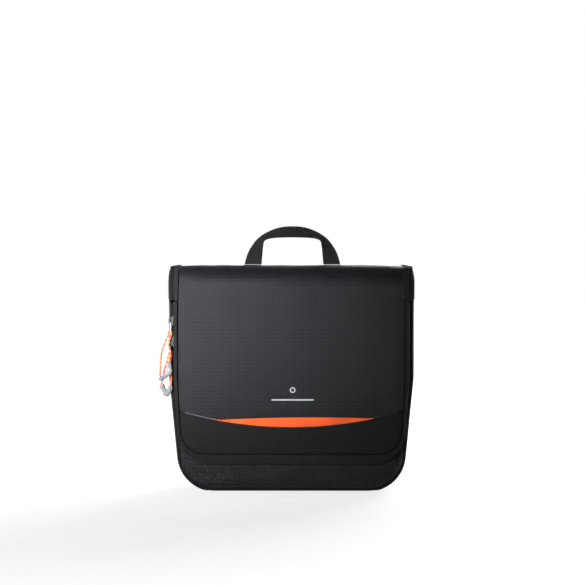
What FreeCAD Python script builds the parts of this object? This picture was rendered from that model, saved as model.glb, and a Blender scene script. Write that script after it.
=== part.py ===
import FreeCAD, Part
import os
import re
from math import acos, atan2, cos, pi, sin, tan

import Sketcher

# Hanging toiletry bag: a soft rectangular bag with rounded lower corners, closed by a padded lid that
# folds up about the top front edge.  +X right, +Y to the back, +Z up, millimetres.
# The origin is the centre of the bottom of the bag's box; the lid faces -Y.

DIMENSIONS = {
    # outline of the body, seen from the front
    "body_half": 132.4, "body_top": 245.6, "side_bend": 122, "corner_x": 84, "corner_radius": 40,
    "edge_width": 4.4, "gusset_inset": 1, "gusset_wall": 3, "lining_inset": 5.2,
    # outline of the lid and of the fabric inside its binding
    "lid_half": 128, "lid_bottom": 30, "lid_corner_x": 86.5, "lid_corner_radius": 37.5,
    "panel_half": 123, "panel_bottom": 41.5, "panel_corner_x": 94, "panel_corner_radius": 26,
    "seam_centre": 71.3, "seam_end": 89, "seam_radius": 432.7,
    "accent_left": -79, "accent_left_top": 78.2, "accent_right": 88.5, "accent_right_top": 80,
    "accent_radius": 1750, "layer_gap": 0.2,
    # mouth of the main compartment
    "mouth_half": 112, "mouth_bottom": 46, "mouth_corner_x": 90, "mouth_radius": 21,
    # places along Y, front negative
    "gusset_front": -22, "gusset_back": 30, "back_face": 34.4, "foam_front": 24.5, "lining_front": 23.7,
    "panel_front": -26, "binding_front": -26.4, "body_tape_back": -26.45, "body_tape_front": -26.9,
    "body_teeth_front": -29.1, "lid_teeth_back": -29.5, "lid_teeth_front": -31.5,
    "lid_tape_front": -32.3, "lid_lining_back": -32.4, "lid_lining_front": -33,
    "lid_foam_front": -35.2, "lid_lower_front": -36.5, "lid_binding_front": -36.6, "lid_front": -37,
    # zipper
    "zip_top": 196, "zip_inset": 1.2, "tape_width": 9, "teeth_width": 2.2, "stop_height": 3,
    # fold over the top, seen from the side
    "hinge_height": 208, "hinge_gap": 0.3, "fold_radius": 24, "fold_thick": 3.2, "strip_width": 9.5,
    # inside
    "stiffener_half": 84, "stiffener_bottom": 4.3, "stiffener_thick": 1.6, "stiffener_front": -20,
    "pocket_half": 106, "pocket_bottom": 20, "pocket_top": 112, "elastic_height": 8,
    "mesh_back": 23.6, "mesh_thick": 1, "band_low": 150, "band_high": 172, "band_thick": 1.4,
    "tack_width": 3, "lid_pocket_bottom": 56, "lid_pocket_top": 150,
    # handle
    "handle_y": 22, "handle_thick": 2, "handle_base": 247.6, "handle_shift": 1, "handle_outer": 54,
    "handle_shoulder": 47, "handle_shoulder_height": 266, "handle_side_radius": 50,
    "handle_crown_radius": 57, "handle_crown_height": 290, "handle_inner_base": 35.5,
    "handle_inner_top": 32, "handle_inner_height": 276.5, "handle_inner_radius": 130,
    "patch_half": 10.5, "patch_low": 245.6, "patch_high": 246.3, "patch_depth": 12,
    # hanging hook, stored pointing down against the back
    "hook_y": 37.4, "hook_axis": 240, "hook_thick": 3.2, "hook_bar_radius": 1.6, "tab_half": 11,
    "tab_inner_radius": 1.9, "tab_outer_radius": 2.9, "tab_bottom": 214, "tab_thick": 1.2,
    "frame_half": 15.6, "frame_slot": 11.6, "frame_rise": 2, "slot_drop": 12, "frame_drop": 18,
    "shank_half": 3.5, "throat_drop": 36, "throat_radius": 11, "hook_outer_radius": 17.5,
    # sliders and pulls at the upper left
    "slider_face": -128.4, "slider_thick": 2, "upper_slider_front": -34, "lower_slider_front": -31.5,
    "slider_back": -26.8,
    "slider_length": 10.5, "upper_slider_low": 180.8, "lower_slider_low": 158.5,
    "bridge_reach": 3.2, "bridge_wall": 1.2, "bridge_low": 0.5, "bridge_high": 9.5, "bridge_leg": 2,
    "bridge_half": 1, "crossbar_radius": 0.6, "crossbar_x": -131.5, "crossbar_rise": 3.4,
    "tab_window": 3.9, "prong_inner": 1.3, "prong_outer": 2.2, "pull_tab_drop": 10.6,
    "pull_tab_thick": 1.2, "eye_radius": 1.1, "eye_drop": 8,
    "upper_pull_y": -32.4, "lower_pull_y": -29, "cord_radius": 1,
    "grip_thick": 4, "grip_half": 2.6, "upper_grip_y": -34.4, "lower_grip_y": -28.9,
    # printed mark
    "mark_x": 1.3, "ring_height": 111.2, "ring_outer": 3.1, "ring_inner": 1.9, "mark_thick": 0.3,
    "bar_height": 100.6, "bar_half": 23, "bar_radius": 1.1,
}

document = FreeCAD.newDocument("hanging_toiletry_bag")
sheet = document.addObject("Spreadsheet::Sheet", "Dims")
for row, (alias, size) in enumerate(DIMENSIONS.items(), start=1):
    sheet.set(f"A{row}", alias)
    sheet.set(f"B{row}", str(size))
    sheet.setAlias(f"B{row}", alias)
document.recompute()

subparts = []


def bound(text):
    """An expression on the sheet's cells, written with the bare aliases."""
    return re.sub(r"[a-z][a-z_]*", lambda word: "Dims." + word.group(), str(text))


def size(text):
    return float(sheet.evalExpression(bound(text)))


def new_body(name):
    body = document.addObject("PartDesign::Body", name)
    body.Label = name
    subparts.append(body)
    return body


def new_sketch(body, role, shift="0"):
    """A sketch on one of the body's own origin planes, moved along the plane's normal."""
    sketch = body.newObject("Sketcher::SketchObject", "sketch")
    plane = [feature for feature in body.Origin.OriginFeatures if feature.Role == role][0]
    sketch.AttachmentSupport = [(plane, "")]
    sketch.MapMode = "FlatFace"
    sketch.setExpression("AttachmentOffset.Base.z", bound(shift))
    return sketch


def dimension(sketch, kind, expression, *where):
    index = sketch.addConstraint(Sketcher.Constraint(kind, *where, size(expression)))
    sketch.setExpression(f"Constraints[{index}]", bound(expression))


def pin_point(sketch, geometry, end, across, up):
    """Fix one end of an edge by its two distances from the sketch's origin."""
    dimension(sketch, "DistanceX", across, -1, 1, geometry, end)
    dimension(sketch, "DistanceY", up, -1, 1, geometry, end)


def arc_between(start, end, radius):
    """The short arc from start to end, and whether it runs that way counterclockwise.

    A positive radius bulges to the left of the way from start to end."""
    chord = end - start
    left = FreeCAD.Vector(-chord.y, chord.x, 0).normalize()
    reach = (radius ** 2 - (chord.Length / 2) ** 2) ** 0.5
    centre = (start + end) * 0.5 - left * reach * (1 if radius > 0 else -1)
    forward = radius < 0
    first, last = (start - centre, end - centre) if forward else (end - centre, start - centre)
    angle = atan2(first.y, first.x)
    turn = (atan2(last.y, last.x) - angle) % (2 * pi)
    circle = Part.Circle(centre, FreeCAD.Vector(0, 0, 1), abs(radius))
    return Part.ArcOfCircle(circle, angle, angle + turn), forward


def draw_loop(sketch, points, arcs=None):
    """A closed loop through points; arcs gives the signed radius of the edge after a point."""
    arcs = arcs or {}
    first = sketch.GeometryCount
    places = [FreeCAD.Vector(size(across), size(up), 0) for across, up in points]
    count = len(points)
    starts = []
    for index in range(count):
        start, end = places[index], places[(index + 1) % count]
        if index in arcs:
            edge, forward = arc_between(start, end, size(arcs[index]))
            sketch.addGeometry(edge, False)
            starts.append((1, 2) if forward else (2, 1))
        else:
            sketch.addGeometry(Part.LineSegment(start, end), False)
            starts.append((1, 2))
    for index in range(count):
        following = (index + 1) % count
        sketch.addConstraint(Sketcher.Constraint(
            "Coincident", first + index, starts[index][1], first + following, starts[following][0]))
    for index, (across, up) in enumerate(points):
        pin_point(sketch, first + index, starts[index][0], across, up)
    for index, radius in arcs.items():
        positive = radius if size(radius) > 0 else f"0 - ({radius})"
        dimension(sketch, "Radius", positive, first + index)


def draw_circle(sketch, across, up, radius):
    centre = FreeCAD.Vector(size(across), size(up), 0)
    circle = Part.Circle(centre, FreeCAD.Vector(0, 0, 1), size(radius))
    index = sketch.addGeometry(circle, False)
    pin_point(sketch, index, 3, across, up)
    dimension(sketch, "Radius", radius, index)


def draw_bucket(sketch, half, top, bottom, corner_x, radius):
    """The bag's outline: upright sides that lean in below the bend and round lower corners."""
    side, high, low = size(half), size(top), size(bottom)
    centre_x, round_radius, bend = size(corner_x), size(radius), size("side_bend")
    # the leaning side is the tangent from the bend to the corner's circle
    across, up = side - centre_x, bend - (low + round_radius)
    reach = (across ** 2 + up ** 2) ** 0.5
    lean = acos(round_radius / reach)
    angle = atan2(up, across) - lean
    touch = FreeCAD.Vector(centre_x + round_radius * cos(angle), low + round_radius * (1 + sin(angle)), 0)
    mirror = FreeCAD.Vector(-touch.x, touch.y, 0)
    normal = FreeCAD.Vector(0, 0, 1)
    left_centre = FreeCAD.Vector(-centre_x, low + round_radius, 0)
    right_centre = FreeCAD.Vector(centre_x, low + round_radius, 0)
    sketch.addGeometry([
        Part.LineSegment(FreeCAD.Vector(-side, high, 0), FreeCAD.Vector(-side, bend, 0)),
        Part.LineSegment(FreeCAD.Vector(-side, bend, 0), mirror),
        Part.ArcOfCircle(Part.Circle(left_centre, normal, round_radius), pi - angle, 1.5 * pi),
        Part.LineSegment(FreeCAD.Vector(-centre_x, low, 0), FreeCAD.Vector(centre_x, low, 0)),
        Part.ArcOfCircle(Part.Circle(right_centre, normal, round_radius), 1.5 * pi, 2 * pi + angle),
        Part.LineSegment(touch, FreeCAD.Vector(side, bend, 0)),
        Part.LineSegment(FreeCAD.Vector(side, bend, 0), FreeCAD.Vector(side, high, 0)),
        Part.LineSegment(FreeCAD.Vector(side, high, 0), FreeCAD.Vector(-side, high, 0)),
    ], False)
    for edge, following in ((0, 1), (5, 6), (6, 7), (7, 0)):
        sketch.addConstraint(Sketcher.Constraint("Coincident", edge, 2, following, 1))
    for edge, following in ((1, 2), (2, 3), (3, 4), (4, 5)):
        sketch.addConstraint(Sketcher.Constraint("Tangent", edge, 2, following, 1))
    sketch.addConstraint(Sketcher.Constraint("Horizontal", 3))
    left = f"0 - ({half})"
    pin_point(sketch, 0, 1, left, top)
    pin_point(sketch, 0, 2, left, "side_bend")
    pin_point(sketch, 6, 1, half, "side_bend")
    pin_point(sketch, 6, 2, half, top)
    for edge, centre in ((2, f"0 - ({corner_x})"), (4, corner_x)):
        dimension(sketch, "DistanceX", centre, -1, 1, edge, 3)
        dimension(sketch, "Radius", radius, edge)
    dimension(sketch, "DistanceY", bottom, -1, 1, 3, 1)


def body_outline(inset, top):
    """Arguments of the bucket that lies this far inside the body's outline."""
    return (f"body_half - ({inset})", top, inset, "corner_x", f"corner_radius - ({inset})")


def lid_outline(inset, top):
    return (f"lid_half - ({inset})", top, f"lid_bottom + ({inset})", "lid_corner_x",
            f"lid_corner_radius - ({inset})")


def fabric_outline(inset, top):
    """Inside edge of the lid's binding, which is wider along the bottom than up the sides."""
    return (f"panel_half - ({inset})", top, f"panel_bottom + ({inset})", "panel_corner_x",
            f"panel_corner_radius - ({inset})")


def pad(body, sketch, length, centred=False):
    feature = body.newObject("PartDesign::Pad", "pad")
    feature.Profile = sketch
    feature.setExpression("Length", bound(length))
    if centred:
        feature.Midplane = True
    document.recompute()
    return feature


def pocket(body, sketch, length, centred=False):
    """Cut the sketch out of the body, away from the plane's normal, and make sure it cut."""
    before = body.Shape.Volume
    feature = body.newObject("PartDesign::Pocket", "pocket")
    feature.Profile = sketch
    feature.setExpression("Length", bound(length))
    feature.Midplane = centred
    document.recompute()
    if not feature.Shape.Volume < before:
        raise RuntimeError(f"{body.Label}: a pocket removed nothing")
    return feature


def layer(name, outline, back, front, hole=None):
    """A flat piece parallel to the lid, from its back plane to its front plane along Y."""
    body = new_body(name)
    sketch = new_sketch(body, "XZ_Plane", f"0 - ({back})")
    draw_bucket(sketch, *outline)
    pad(body, sketch, f"({back}) - ({front})")
    if hole:
        cut = new_sketch(body, "XZ_Plane", f"0 - ({front})")
        draw_bucket(cut, *hole)
        pocket(body, cut, f"({back}) - ({front})")
    return body


def slab(name, left, right, low, high, back, front):
    """A rectangular flat piece parallel to the lid."""
    body = new_body(name)
    sketch = new_sketch(body, "XZ_Plane", f"0 - ({back})")
    draw_loop(sketch, [(left, low), (right, low), (right, high), (left, high)])
    pad(body, sketch, f"({back}) - ({front})")
    return body


def top_fold(name, centre, width, proud):
    """A strip that runs from the lid's hinge over the front edge and back along the top."""
    body = new_body(name)
    sketch = new_sketch(body, "YZ_Plane", centre)
    outer_front, inner_front = f"lid_front - ({proud})", "lid_front + fold_thick"
    outer_top, inner_top = f"body_top + ({proud})", "body_top - fold_thick"
    low, bend = "hinge_height + hinge_gap", "body_top - fold_radius"
    turn = "lid_front + fold_radius"
    draw_loop(
        sketch,
        [(inner_front, low), (outer_front, low), (outer_front, bend), (turn, outer_top),
         ("gusset_back", outer_top), ("gusset_back", inner_top), (turn, inner_top), (inner_front, bend)],
        {2: f"fold_radius + ({proud})", 6: "0 - (fold_radius - fold_thick)"})
    pad(body, sketch, width, centred=True)


def make_gusset():
    """Side walls and bottom in one strip, trimmed under the fold and back from the lid's edge."""
    top = "body_top + 1"
    body = layer("gusset", body_outline("gusset_inset", top), "gusset_back", "lid_front + fold_thick",
                 body_outline("gusset_inset + gusset_wall", "body_top + 5"))
    step = new_sketch(body, "YZ_Plane")
    draw_loop(step, [("lid_front - 5", "0 - 5"), ("gusset_front", "0 - 5"),
                     ("gusset_front", "hinge_height"), ("lid_front - 5", "hinge_height")])
    pocket(body, step, "body_half * 3", centred=True)
    over = new_sketch(body, "YZ_Plane")
    front, high = "lid_front + fold_thick", "body_top - fold_thick"
    draw_loop(over, [(front, "hinge_height - 1"), (front, "body_top - fold_radius"),
                     ("lid_front + fold_radius", high), ("gusset_back + 5", high),
                     ("gusset_back + 5", "body_top + 9"), ("lid_front - 9", "body_top + 9"),
                     ("lid_front - 9", "hinge_height - 1")],
              {1: "fold_radius - fold_thick"})
    pocket(body, over, "body_half * 3", centred=True)


def make_body_shell():
    make_gusset()
    layer("back_binding", body_outline(0, "body_top"), "back_face", "gusset_back",
          body_outline("edge_width", "body_top - edge_width"))
    layer("back_panel", body_outline("edge_width", "body_top - edge_width"),
          "back_face - 1", "gusset_back + 1")
    layer("back_foam", body_outline("lining_inset", "body_top - 7"), "gusset_back", "foam_front")
    layer("back_lining", body_outline("lining_inset", "body_top - 7"), "foam_front", "lining_front")
    layer("front_binding", body_outline(0, "hinge_height - 2"), "gusset_front", "binding_front",
          body_outline("edge_width", "body_top"))
    mouth = ("mouth_half", "body_top", "mouth_bottom", "mouth_corner_x", "mouth_radius")
    layer("front_panel", body_outline("edge_width", "hinge_height - 2"),
          "gusset_front - 0.4", "panel_front", mouth)
    slab("bottom_stiffener", "0 - stiffener_half", "stiffener_half", "stiffener_bottom",
         "stiffener_bottom + stiffener_thick", "lining_front - 1", "stiffener_front")
    strip = "body_half - strip_width"
    top_fold("top_panel", 0, f"2 * ({strip})", 0)
    top_fold("top_strip_left", "0 - body_half + strip_width / 2", "strip_width", 0.5)
    top_fold("top_strip_right", "body_half - strip_width / 2", "strip_width", 0.5)


def make_zipper():
    """Both halves of the zipper: a tape and a row of teeth on the body and on the lid."""
    tape_hole = lid_outline("zip_inset + tape_width", "body_top")
    teeth_hole = lid_outline("zip_inset + teeth_width", "body_top")
    edge = lid_outline("zip_inset", "zip_top")
    layer("body_zip_tape", edge, "body_tape_back", "body_tape_front", tape_hole)
    layer("body_zip_teeth", edge, "body_tape_front", "body_teeth_front", teeth_hole)
    layer("lid_zip_teeth", edge, "lid_teeth_back", "lid_teeth_front", teeth_hole)
    layer("lid_zip_tape", edge, "lid_teeth_front", "lid_tape_front", tape_hole)
    stops = new_body("zip_stops")
    sketch = new_sketch(stops, "XZ_Plane", "0 - body_tape_back")
    for side in ("", "0 - "):
        outer, inner = f"{side}(lid_half - zip_inset)", f"{side}(lid_half - zip_inset - teeth_width)"
        draw_loop(sketch, [(outer, "zip_top"), (inner, "zip_top"),
                           (inner, "zip_top + stop_height"), (outer, "zip_top + stop_height")])
    pad(stops, sketch, "body_tape_back - body_teeth_front")


def make_inside():
    """Mesh pocket, its elastic edge and a holding band on the back wall of the compartment."""
    mesh_front = "mesh_back - mesh_thick"
    slab("back_mesh_pocket", "0 - pocket_half", "pocket_half", "pocket_bottom", "pocket_top",
         "mesh_back", mesh_front)
    slab("back_pocket_elastic", "0 - pocket_half", "pocket_half", "pocket_top",
         "pocket_top + elastic_height", "mesh_back", f"{mesh_front} - 0.5")
    slab("holding_band", "0 - pocket_half", "pocket_half", "band_low", "band_high",
         "mesh_back", "mesh_back - band_thick")
    tacks = new_body("band_bar_tacks")
    sketch = new_sketch(tacks, "XZ_Plane", "0 - (mesh_back - band_thick)")
    for step in range(4):
        middle = f"(pocket_half - tack_width) * {(2 * step - 3) / 3:.4f}"
        draw_loop(sketch, [(f"{middle} - tack_width / 2", "band_low"),
                           (f"{middle} + tack_width / 2", "band_low"),
                           (f"{middle} + tack_width / 2", "band_high"),
                           (f"{middle} - tack_width / 2", "band_high")])
    pad(tacks, sketch, "layer_gap * 2")


def seam_height(across):
    """Height of the curved seam between the lid's two fabrics, as an expression."""
    return f"seam_centre + ({across}) * ({across}) / (2 * seam_radius)"


def make_lid():
    layer("lid_binding", lid_outline(0, "hinge_height - hinge_gap"), "lid_tape_front",
          "lid_binding_front", fabric_outline(0, "body_top"))
    top = "hinge_height - hinge_gap"
    layer("lid_lining", fabric_outline("layer_gap", top), "lid_lining_back", "lid_lining_front")
    layer("lid_foam", fabric_outline("layer_gap", top), "lid_lining_front", "lid_foam_front")
    left, right = "accent_left", "accent_right"
    wide = "body_half * 1.1"
    edge_seam = seam_height(wide)

    upper = layer("lid_upper_panel", fabric_outline("layer_gap", top), "lid_foam_front", "lid_front")
    below = new_sketch(upper, "XZ_Plane", "0 - lid_front")
    draw_loop(below, [(f"0 - ({wide})", edge_seam), (f"0 - ({wide})", 0), (wide, 0), (wide, edge_seam),
                      (right, "accent_right_top + layer_gap"), (left, "accent_left_top + layer_gap")],
              {3: "0 - seam_radius", 4: "0 - accent_radius", 5: "0 - seam_radius"})
    pocket(upper, below, "lid_foam_front - lid_front")

    lower = layer("lid_lower_panel", fabric_outline("layer_gap", top), "lid_foam_front",
                  "lid_lower_front")
    above = new_sketch(lower, "XZ_Plane", "0 - lid_lower_front")
    draw_loop(above, [(f"0 - ({wide})", f"{edge_seam} - layer_gap"), (wide, f"{edge_seam} - layer_gap"),
                      (wide, "body_top + 5"), (f"0 - ({wide})", "body_top + 5")],
              {0: "0 - seam_radius"})
    pocket(lower, above, "lid_foam_front - lid_lower_front")

    accent = new_body("lid_accent")
    crescent = new_sketch(accent, "XZ_Plane", "0 - lid_foam_front")
    draw_loop(crescent, [(left, "accent_left_top"), (right, "accent_right_top")],
              {0: "0 - seam_radius", 1: "0 - accent_radius"})
    pad(accent, crescent, "lid_foam_front - lid_lower_front")

    half = "pocket_half"
    slab("lid_mesh_pocket", f"0 - {half}", half, "lid_pocket_bottom", "lid_pocket_top",
         "lid_teeth_front", "lid_lining_back")
    slab("lid_pocket_elastic", f"0 - {half}", half, "lid_pocket_top",
         "lid_pocket_top + elastic_height", "lid_teeth_front + 0.4", "lid_lining_back")

    mark = new_body("lid_mark")
    sketch = new_sketch(mark, "XZ_Plane", "0 - lid_front")
    draw_circle(sketch, "mark_x", "ring_height", "ring_outer")
    draw_circle(sketch, "mark_x", "ring_height", "ring_inner")
    low, high = "bar_height - bar_radius", "bar_height + bar_radius"
    draw_loop(sketch, [("mark_x - bar_half", low), ("mark_x + bar_half", low),
                       ("mark_x + bar_half", high), ("mark_x - bar_half", high)])
    pad(mark, sketch, "mark_thick")


def make_handle():
    """An arch of webbing, upright, and the sewn patches that hold its two ends."""
    handle = new_body("handle_webbing")
    sketch = new_sketch(handle, "XZ_Plane", "0 - (handle_y + handle_thick / 2)")
    shift, base = "handle_shift", "handle_base"
    draw_loop(
        sketch,
        [(f"{shift} - handle_outer", base), (f"{shift} - handle_inner_base", base),
         (f"{shift} - handle_inner_top", "handle_inner_height"),
         (f"{shift} + handle_inner_top", "handle_inner_height"),
         (f"{shift} + handle_inner_base", base), (f"{shift} + handle_outer", base),
         (f"{shift} + handle_shoulder", "handle_shoulder_height"),
         (shift, "handle_crown_height"),
         (f"{shift} - handle_shoulder", "handle_shoulder_height")],
        {2: "handle_inner_radius", 5: "0 - handle_side_radius", 6: "0 - handle_crown_radius",
         7: "0 - handle_crown_radius", 8: "0 - handle_side_radius"})
    pad(handle, sketch, "handle_thick")
    patches = new_body("handle_patches")
    outline = new_sketch(patches, "XZ_Plane", "0 - (handle_y + patch_depth / 2)")
    for side in ("", "0 - "):
        middle = f"handle_shift + {side}(handle_outer + handle_inner_base) / 2"
        draw_loop(outline, [(f"{middle} - patch_half", "patch_low"), (f"{middle} + patch_half", "patch_low"),
                            (f"{middle} + patch_half", "patch_high"),
                            (f"{middle} - patch_half", "patch_high")])
    pad(patches, outline, "patch_depth")


def make_hook():
    """A flat hook on a webbing tab: it hangs down the back and turns up over the bag to be used."""
    tab = new_body("hook_webbing_tab")
    loop = new_sketch(tab, "YZ_Plane")
    draw_circle(loop, "hook_y", "hook_axis", "tab_outer_radius")
    pad(tab, loop, "2 * tab_half", centred=True)
    strip = new_sketch(tab, "YZ_Plane")
    inner = "hook_y - tab_outer_radius + tab_thick"
    draw_loop(strip, [("hook_y - tab_outer_radius", "tab_bottom"), (inner, "tab_bottom"),
                      (inner, "hook_axis"), ("hook_y - tab_outer_radius", "hook_axis")])
    pad(tab, strip, "2 * tab_half", centred=True)
    eye = new_sketch(tab, "YZ_Plane")
    draw_circle(eye, "hook_y", "hook_axis", "tab_inner_radius")
    pocket(tab, eye, "3 * tab_half", centred=True)

    hook = new_body("hanging_hook")
    frame = new_sketch(hook, "XZ_Plane", "0 - (hook_y + hook_thick / 2)")
    low, high = "hook_axis - frame_drop", "hook_axis + frame_rise"
    slot_low = "hook_axis - slot_drop"
    draw_loop(frame, [("0 - frame_half", low), ("frame_half", low), ("frame_half", high),
                      ("frame_slot", high), ("frame_slot", slot_low), ("0 - frame_slot", slot_low),
                      ("0 - frame_slot", high), ("0 - frame_half", high)])
    pad(hook, frame, "hook_thick")
    bar = new_sketch(hook, "YZ_Plane")
    draw_circle(bar, "hook_y", "hook_axis", "hook_bar_radius")
    pad(hook, bar, "2 * frame_slot + 1", centred=True)
    # the throat's circle sits below the frame and opens to the left
    throat = "hook_axis - throat_drop - throat_radius"
    curl = new_sketch(hook, "XZ_Plane", "0 - (hook_y + hook_thick / 2)")
    draw_circle(curl, 0, throat, "hook_outer_radius")
    pad(hook, curl, "hook_thick")
    neck = new_sketch(hook, "XZ_Plane", "0 - (hook_y + hook_thick / 2)")
    draw_loop(neck, [("0 - shank_half", f"{throat} + throat_radius + 2"),
                     ("shank_half", f"{throat} + throat_radius + 2"),
                     ("shank_half", f"{low} + 1"), ("0 - shank_half", f"{low} + 1")])
    pad(hook, neck, "hook_thick")
    hollow = new_sketch(hook, "XZ_Plane", "0 - (hook_y - hook_thick / 2)")
    draw_circle(hollow, 0, throat, "throat_radius")
    pocket(hook, hollow, "hook_thick")
    gap = new_sketch(hook, "XZ_Plane", "0 - (hook_y - hook_thick / 2)")
    draw_loop(gap, [("0 - hook_outer_radius - 3", f"{throat} - 1"), ("0 - throat_radius / 2", f"{throat} - 1"),
                    ("0 - throat_radius / 2", f"{throat} + 8"),
                    ("0 - hook_outer_radius - 3", f"{throat} + 13")])
    pocket(hook, gap, "hook_thick")


def make_slider(name, low, front, pull_y):
    """A flat slider on the left run of the zipper, with an arched bridge for its pull."""
    slider = new_body(name)
    plate = new_sketch(slider, "XZ_Plane", "0 - slider_back")
    outer = "slider_face - slider_thick"
    draw_loop(plate, [(outer, f"{low} + 1"), ("slider_face", low), ("slider_face", f"{low} + slider_length"),
                      (outer, f"{low} + slider_length - 1")])
    pad(slider, plate, f"slider_back - {front}")
    bridge = new_sketch(slider, "XZ_Plane", f"0 - ({pull_y} + bridge_half)")
    reach = f"{outer} - bridge_reach"
    inner = f"{reach} + bridge_wall"
    foot, head = f"{low} + bridge_low", f"{low} + bridge_high"
    draw_loop(bridge, [(f"{outer} + 0.5", f"{foot} + 0.7"), (reach, f"{foot} + 1"), (reach, f"{head} - 1"),
                       (f"{outer} + 0.5", f"{head} - 0.2"), (f"{outer} + 0.5", f"{head} - bridge_leg"),
                       (inner, f"{head} - bridge_leg"), (inner, f"{foot} + bridge_leg"),
                       (f"{outer} + 0.5", f"{foot} + bridge_leg")])
    pad(slider, bridge, "2 * bridge_half")


def make_pull_tab(name, low, pull_y):
    """A metal tab whose crossbar passes under the slider's bridge, with an eye for the cord."""
    tab = new_body(name)
    axis = f"{low} + crossbar_rise"
    half = "pull_tab_thick / 2"
    plate = new_sketch(tab, "XZ_Plane", f"0 - ({pull_y} + prong_outer)")
    draw_loop(plate, [(f"crossbar_x - {half}", f"{axis} - pull_tab_drop"),
                      (f"crossbar_x + {half}", f"{axis} - pull_tab_drop"),
                      (f"crossbar_x + {half}", axis), (f"crossbar_x - {half}", axis)])
    pad(tab, plate, "2 * prong_outer")
    window = new_sketch(tab, "YZ_Plane", "crossbar_x")
    near, far = f"{pull_y} - prong_inner", f"{pull_y} + prong_inner"
    draw_loop(window, [(near, f"{axis} - tab_window"), (far, f"{axis} - tab_window"),
                       (far, f"{axis} + 1"), (near, f"{axis} + 1")])
    pocket(tab, window, "4 * pull_tab_thick", centred=True)
    eye = new_sketch(tab, "YZ_Plane", "crossbar_x")
    draw_circle(eye, pull_y, f"{axis} - eye_drop", "eye_radius")
    pocket(tab, eye, "4 * pull_tab_thick", centred=True)
    bar = new_sketch(tab, "XZ_Plane", f"0 - ({pull_y} + prong_outer)")
    draw_circle(bar, "crossbar_x", axis, "crossbar_radius")
    pad(tab, bar, "2 * prong_outer")


def rounded_route(route):
    """A wire of straight runs joined by tangent arcs, each as large as its two runs allow."""
    points = [FreeCAD.Vector(*place) for place in route]
    edges, radii = [], []
    last = points[0]
    for before, corner, after in zip(points, points[1:], points[2:]):
        incoming, outgoing = corner - before, after - corner
        half_turn = incoming.getAngle(outgoing) / 2
        cut = 0.45 * min(incoming.Length, outgoing.Length)
        radii.append(cut / tan(half_turn))
        start = corner - FreeCAD.Vector(incoming).normalize() * cut
        end = corner + FreeCAD.Vector(outgoing).normalize() * cut
        bisector = (start + end) * 0.5 - corner
        deep = radii[-1] / cos(half_turn) - radii[-1]
        top = corner + bisector.normalize() * deep
        edges.append(Part.LineSegment(last, start).toShape())
        edges.append(Part.Arc(start, top, end).toShape())
        last = end
    edges.append(Part.LineSegment(last, points[-1]).toShape())
    return Part.Wire(edges), radii


def make_cord(name, route):
    """A round cord's solid along its route, with its radii and its volume checked."""
    wire, radii = rounded_route(route)
    radius = size("cord_radius")
    first = wire.Edges[0]
    direction = first.tangentAt(first.FirstParameter)
    ring = Part.Wire([Part.Circle(FreeCAD.Vector(*route[0]), direction, radius).toShape()])
    tube = wire.makePipeShell([ring], True, False)
    cord = document.addObject("Part::Feature", name)
    cord.Label = name
    cord.Shape = tube
    cord.Placement = FreeCAD.Placement()
    subparts.append(cord)
    expected = pi * radius ** 2 * wire.Length
    print(f"{name}: length {wire.Length:.1f} mm, volume {tube.Volume:.1f} of {expected:.1f} mm3,",
          "radii", " ".join(f"{value:.1f}" for value in radii))
    if abs(tube.Volume - expected) > 0.03 * expected:
        raise RuntimeError(f"{name}: the tube's volume is wrong")


def make_grip(name, middle_y, start, corner, end):
    """A moulded V-shaped grip: three round bosses joined by two straight arms."""
    grip = new_body(name)
    for first, second in ((start, corner), (corner, end)):
        across, up = second[0] - first[0], second[1] - first[1]
        length = (across ** 2 + up ** 2) ** 0.5
        reach = size("grip_half") / length
        side = (-up * reach, across * reach)
        arm = new_sketch(grip, "XZ_Plane", f"0 - ({middle_y} + grip_thick / 2)")
        draw_loop(arm, [(first[0] + side[0], first[1] + side[1]), (first[0] - side[0], first[1] - side[1]),
                        (second[0] - side[0], second[1] - side[1]),
                        (second[0] + side[0], second[1] + side[1])],
                  {0: "grip_half * 1.0001", 2: "grip_half * 1.0001"})
        pad(grip, arm, "grip_thick")


make_body_shell()
make_zipper()
make_inside()
make_lid()
make_handle()
make_hook()
make_slider("slider_upper", "upper_slider_low", "upper_slider_front", "upper_pull_y")
make_slider("slider_lower", "lower_slider_low", "lower_slider_front", "lower_pull_y")
make_pull_tab("pull_tab_upper", "upper_slider_low", "upper_pull_y")
make_pull_tab("pull_tab_lower", "lower_slider_low", "lower_pull_y")

# Each cord leaves the tab's eye, goes down to one end of its grip, through the grip and back up.
UPPER_ROUTE = [
    (-132.8, -32.9, 175.0), (-134.6, -33.2, 170.0), (-137.2, -33.8, 163.0), (-140.3, -34.3, 155.5),
    (-142.0, -34.4, 146.5), (-142.3, -34.4, 137.5), (-142.6, -34.4, 129.5), (-143.0, -34.4, 124.0),
    (-139.5, -34.4, 122.6), (-134.5, -34.4, 126.4), (-131.6, -34.4, 130.6), (-133.0, -34.4, 136.0),
    (-133.4, -34.4, 142.0), (-131.4, -34.4, 148.0), (-131.7, -34.2, 154.0), (-134.0, -33.8, 160.0),
    (-131.9, -33.2, 167.0), (-130.2, -32.9, 172.0), (-130.4, -32.9, 175.0)]
LOWER_ROUTE = [
    (-132.7, -29.0, 153.0), (-134.2, -29.0, 147.5), (-136.4, -29.0, 140.5), (-138.4, -28.9, 132.5),
    (-139.6, -28.9, 125.0), (-141.4, -28.9, 118.5), (-141.2, -28.9, 113.5), (-139.0, -28.9, 108.5),
    (-136.0, -28.9, 104.6), (-132.8, -28.9, 107.5), (-131.6, -28.9, 113.0), (-130.8, -28.9, 120.0),
    (-130.5, -28.9, 128.0), (-131.3, -28.9, 136.5), (-131.9, -29.0, 143.5), (-130.4, -29.0, 149.5),
    (-130.3, -29.0, 153.0)]
make_cord("pull_cord_upper", UPPER_ROUTE)
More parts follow.
